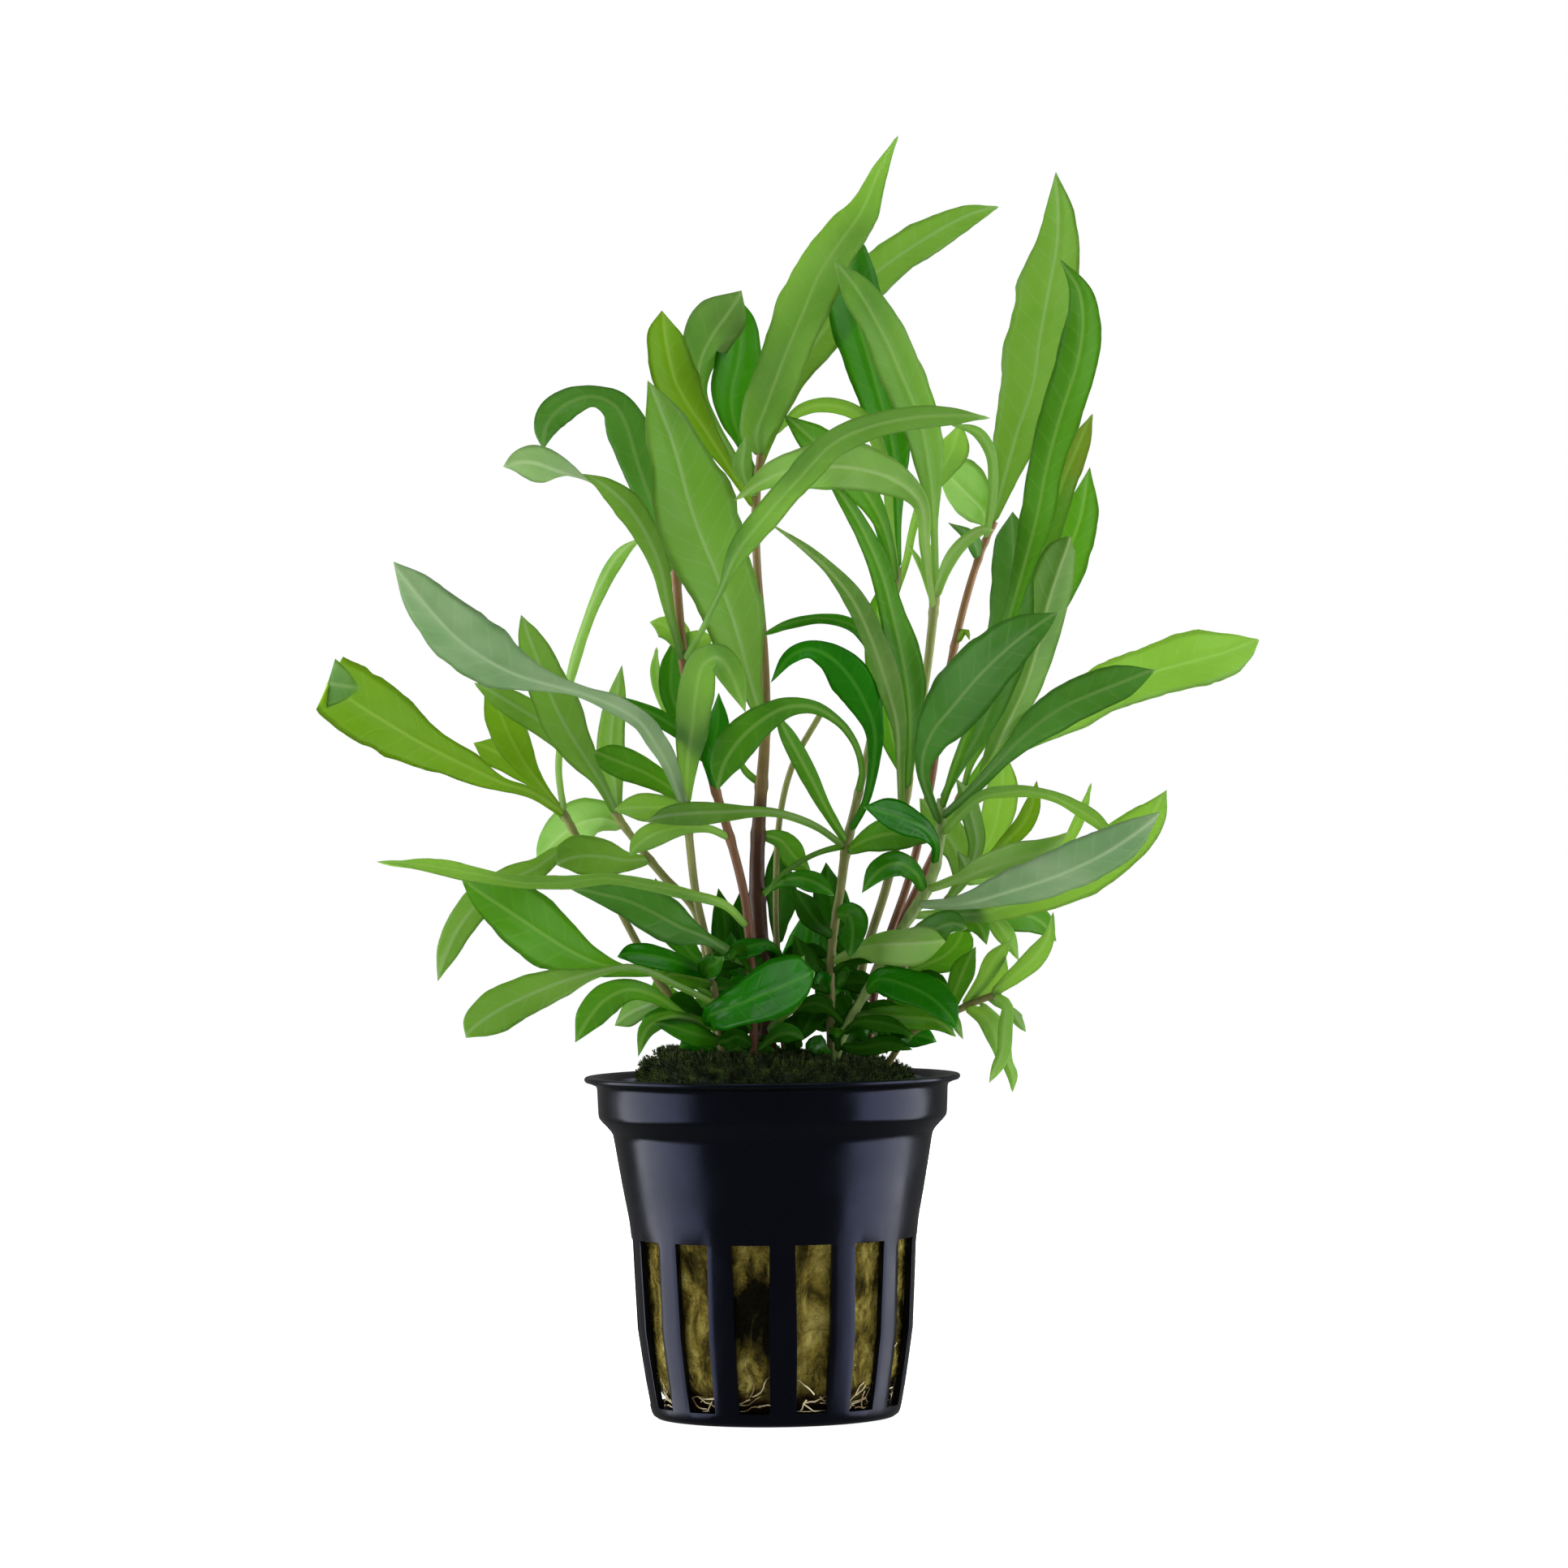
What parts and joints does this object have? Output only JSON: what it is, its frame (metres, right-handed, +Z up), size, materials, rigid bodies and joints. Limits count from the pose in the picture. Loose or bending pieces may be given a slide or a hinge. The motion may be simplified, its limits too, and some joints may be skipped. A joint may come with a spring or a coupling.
{
  "type": "potted aquarium plant",
  "caption": "Bushy aquarium stem plant with long lance-shaped leaves, rooted in mineral wool under a cushion of moss in a small round slotted plastic pot.",
  "frame": {"origin": "centre of the pot's underside, on the pot's axis", "axes": "+Z up along the pot axis, +X to the right and +Y to the back as the picture shows the plant"},
  "size_m": [0.1386, 0.0782, 0.1886],
  "materials": {
    "pot_plastic": "moulded gloss, wet",
    "mineral_wool": "matt, fibrous",
    "moss": "matt, fine-leaved",
    "brown_stem": "satin",
    "green_stem": "satin",
    "leaf": "satin, thin and translucent"
  },
  "bodies": {
    "root": {"net_pot": "pot_plastic", "rock_wool": "mineral_wool", "moss_cushion": "moss", "stem_back_right": "green_stem", "stem_centre": "green_stem", "stem_edge_right": "green_stem", "stem_far_left": "green_stem", "stem_inner_left": "green_stem", "stem_inner_right": "green_stem", "stem_low_left": "green_stem", "stem_low_right": "green_stem", "stem_main": "brown_stem", "stem_mid_left": "green_stem", "stem_outer_right": "green_stem", "stem_side_right": "green_stem", "stem_thin": "green_stem", "leaf_arch_centre": "leaf", "leaf_big_dark_right": "leaf", "leaf_blue_top_left": "leaf", "leaf_bright_right": "leaf", "leaf_bright_top_left": "leaf", "leaf_broad_left": "leaf", "leaf_broad_low_right": "leaf", "leaf_cross_front": "leaf", "leaf_cross_level": "leaf", "leaf_curled_left": "leaf", "leaf_dark_arch": "leaf", "leaf_dark_top_left": "leaf", "leaf_far_left": "leaf", "leaf_folded_left": "leaf", "leaf_front_arch": "leaf", "leaf_grey_right": "leaf", "leaf_hanging_centre": "leaf", "leaf_hanging_left": "leaf", "leaf_hooked_right": "leaf", "leaf_largest_front": "leaf", "leaf_level_left": "leaf", "leaf_long_left": "leaf", "leaf_long_right": "leaf", "leaf_long_right_front": "leaf", "leaf_low_right_back": "leaf", "leaf_narrow_centre": "leaf", "leaf_olive_right": "leaf", "leaf_pale_right": "leaf", "leaf_ribbon_right": "leaf", "leaf_round_right": "leaf", "leaf_rounded_left": "leaf", "leaf_short_right": "leaf", "leaf_tall_right": "leaf", "leaf_top_behind": "leaf", "leaf_top_centre": "leaf", "leaf_top_pair_back": "leaf", "leaf_top_pair_front": "leaf", "leaf_torn_right": "leaf", "leaf_twisted_left": "leaf", "leaf_upright_left": "leaf", "leaf_upright_right": "leaf"}
  },
  "joints": []
}
